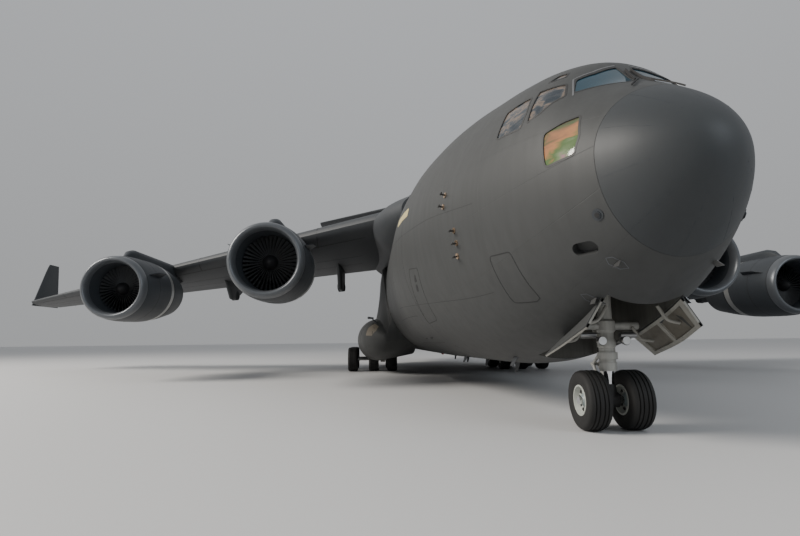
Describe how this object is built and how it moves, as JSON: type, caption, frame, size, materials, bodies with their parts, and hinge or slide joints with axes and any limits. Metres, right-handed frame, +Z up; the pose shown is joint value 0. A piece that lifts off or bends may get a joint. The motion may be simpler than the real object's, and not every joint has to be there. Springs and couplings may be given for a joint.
{
  "type": "half-scale model of a military transport plane",
  "caption": "High-wing jet transport on its gear, with a T-tail, a hollow hold with ramp and door, turning fans and wheels, steering, flaps and rudders.",
  "frame": {"origin": "on the ground under the middle of the model's length and width", "axes": "+X points to the nose, +Y to the port side, +Z up"},
  "size_m": [26.51, 25.8572, 8.395],
  "materials": {
    "airframe_grey": "satin",
    "composite_grey": "satin",
    "cockpit_glass": "gloss",
    "interior_paint": "matte",
    "fan_metal": "satin",
    "core_metal": "matte",
    "leg_white": "gloss",
    "piston_chrome": "polished",
    "tyre_rubber": "matte"
  },
  "bodies": {
    "airframe": {"radome": "composite_grey", "fuselage_forward": "airframe_grey", "cockpit_glazing": "cockpit_glass", "flight_deck": "interior_paint", "fuselage_centre": "airframe_grey", "cargo_floor": "interior_paint", "fuselage_aft": "airframe_grey", "sponson_port": "airframe_grey", "sponson_starboard": "airframe_grey", "wing_port": "airframe_grey", "wing_starboard": "airframe_grey", "winglet_port": "airframe_grey", "winglet_starboard": "airframe_grey", "wing_fairing": "airframe_grey", "fin": "airframe_grey", "tail_bullet": "composite_grey", "tailplane_port": "airframe_grey", "tailplane_starboard": "airframe_grey", "nacelle_outer_starboard": "airframe_grey", "core_outer_starboard": "core_metal", "pylon_outer_starboard": "airframe_grey", "nacelle_inner_starboard": "airframe_grey", "core_inner_starboard": "core_metal", "pylon_inner_starboard": "airframe_grey", "nacelle_inner_port": "airframe_grey", "core_inner_port": "core_metal", "pylon_inner_port": "airframe_grey", "nacelle_outer_port": "airframe_grey", "core_outer_port": "core_metal", "pylon_outer_port": "airframe_grey", "main_leg_forward_port": "leg_white", "main_leg_rear_port": "leg_white", "main_leg_forward_starboard": "leg_white", "main_leg_rear_starboard": "leg_white", "nose_leg": "leg_white", "nose_gear_door_starboard": "airframe_grey", "nose_gear_door_port": "airframe_grey"},
    "crew_door": {"crew_door": "airframe_grey"},
    "cargo_ramp": {"cargo_ramp": "airframe_grey"},
    "cargo_door": {"cargo_door": "airframe_grey"},
    "rudder_lower": {"rudder_lower": "composite_grey"},
    "rudder_upper": {"rudder_upper": "composite_grey"},
    "aileron_port": {"aileron_port": "composite_grey"},
    "flap_port": {"flap_port": "airframe_grey"},
    "elevator_port": {"elevator_port": "composite_grey"},
    "aileron_starboard": {"aileron_starboard": "composite_grey"},
    "flap_starboard": {"flap_starboard": "airframe_grey"},
    "elevator_starboard": {"elevator_starboard": "composite_grey"},
    "fan_outer_starboard": {"fan_outer_starboard": "fan_metal"},
    "fan_inner_starboard": {"fan_inner_starboard": "fan_metal"},
    "fan_inner_port": {"fan_inner_port": "fan_metal"},
    "fan_outer_port": {"fan_outer_port": "fan_metal"},
    "main_wheels_forward_port": {"main_wheels_forward_port": "tyre_rubber"},
    "main_wheels_rear_port": {"main_wheels_rear_port": "tyre_rubber"},
    "main_wheels_forward_starboard": {"main_wheels_forward_starboard": "tyre_rubber"},
    "main_wheels_rear_starboard": {"main_wheels_rear_starboard": "tyre_rubber"},
    "nose_steering": {"nose_steering": "piston_chrome"},
    "nose_wheels": {"nose_wheels": "tyre_rubber"}
  },
  "joints": [
    {"name": "crew_door_drop", "type": "hinge", "parent": "airframe", "child": "crew_door", "pos_m": [9.185, 1.17289, 1.05694], "axis": [-1, 0, 0], "range_deg": [0, 110]},
    {"name": "cargo_ramp_lower", "type": "hinge", "parent": "airframe", "child": "cargo_ramp", "pos_m": [-1.77, 0, 0.545], "axis": [0, -1, 0], "range_deg": [0, 20]},
    {"name": "cargo_door_raise", "type": "hinge", "parent": "airframe", "child": "cargo_door", "pos_m": [-7.49, 0, 2.36], "axis": [0, -1, 0], "range_deg": [0, 32]},
    {"name": "aileron_port_turn", "type": "hinge", "parent": "airframe", "child": "aileron_port", "pos_m": [-0.36131, 9.45, 2.35827], "axis": [-0.2761, 0.9568, -0.0915], "range_deg": [-20, 25]},
    {"name": "flap_port_lower", "type": "hinge", "parent": "airframe", "child": "flap_port", "pos_m": [1.7634, 2.5, 2.34838], "axis": [0.2842, -0.9577, 0.0446], "range_deg": [0, 40]},
    {"name": "elevator_port_turn", "type": "hinge", "parent": "airframe", "child": "elevator_port", "pos_m": [-11.34324, 0.5, 7.7794], "axis": [-0.3235, 0.9433, -0.074], "range_deg": [-20, 27]},
    {"name": "aileron_starboard_turn", "type": "hinge", "parent": "airframe", "child": "aileron_starboard", "pos_m": [-0.36131, -9.45, 2.35827], "axis": [0.2761, 0.9568, 0.0915], "range_deg": [-20, 25]},
    {"name": "flap_starboard_lower", "type": "hinge", "parent": "airframe", "child": "flap_starboard", "pos_m": [1.7634, -2.5, 2.34838], "axis": [-0.2842, -0.9577, -0.0446], "range_deg": [0, 40]},
    {"name": "elevator_starboard_turn", "type": "hinge", "parent": "airframe", "child": "elevator_starboard", "pos_m": [-11.34324, -0.5, 7.7794], "axis": [0.3235, 0.9433, 0.074], "range_deg": [-20, 27]},
    {"name": "rudder_lower_turn", "type": "hinge", "parent": "airframe", "child": "rudder_lower", "pos_m": [-8.82318, 0, 4.175], "axis": [-0.4853, 0, 0.8743], "range_deg": [-25, 25]},
    {"name": "rudder_upper_turn", "type": "hinge", "parent": "airframe", "child": "rudder_upper", "pos_m": [-9.83621, 0, 6], "axis": [-0.4853, 0, 0.8743], "range_deg": [-25, 25]},
    {"name": "fan_outer_starboard_spin", "type": "hinge", "parent": "airframe", "child": "fan_outer_starboard", "pos_m": [5.475, -7.365, 1.935], "axis": [0.9996, 0, -0.03], "continuous": true},
    {"name": "fan_inner_starboard_spin", "type": "hinge", "parent": "airframe", "child": "fan_inner_starboard", "pos_m": [7.51, -3.865, 2.17], "axis": [0.9996, 0, -0.03], "continuous": true},
    {"name": "fan_inner_port_spin", "type": "hinge", "parent": "airframe", "child": "fan_inner_port", "pos_m": [7.51, 3.865, 2.17], "axis": [0.9996, 0, -0.03], "continuous": true},
    {"name": "fan_outer_port_spin", "type": "hinge", "parent": "airframe", "child": "fan_outer_port", "pos_m": [5.475, 7.365, 1.935], "axis": [0.9996, 0, -0.03], "continuous": true},
    {"name": "main_wheels_forward_port_roll", "type": "hinge", "parent": "airframe", "child": "main_wheels_forward_port", "pos_m": [2.21, 2.015, 0.3175], "axis": [0, 1, 0], "continuous": true},
    {"name": "main_wheels_rear_port_roll", "type": "hinge", "parent": "airframe", "child": "main_wheels_rear_port", "pos_m": [0.885, 2.015, 0.3175], "axis": [0, 1, 0], "continuous": true},
    {"name": "main_wheels_forward_starboard_roll", "type": "hinge", "parent": "airframe", "child": "main_wheels_forward_starboard", "pos_m": [2.21, -2.015, 0.3175], "axis": [0, 1, 0], "continuous": true},
    {"name": "main_wheels_rear_starboard_roll", "type": "hinge", "parent": "airframe", "child": "main_wheels_rear_starboard", "pos_m": [0.885, -2.015, 0.3175], "axis": [0, 1, 0], "continuous": true},
    {"name": "nose_steer", "type": "hinge", "parent": "airframe", "child": "nose_steering", "pos_m": [11.61, 0, 0.254], "axis": [0, 0, 1], "range_deg": [-65, 65]},
    {"name": "nose_wheels_roll", "type": "hinge", "parent": "nose_steering", "child": "nose_wheels", "pos_m": [11.61, 0, 0.254], "axis": [0, 1, 0], "continuous": true}
  ]
}
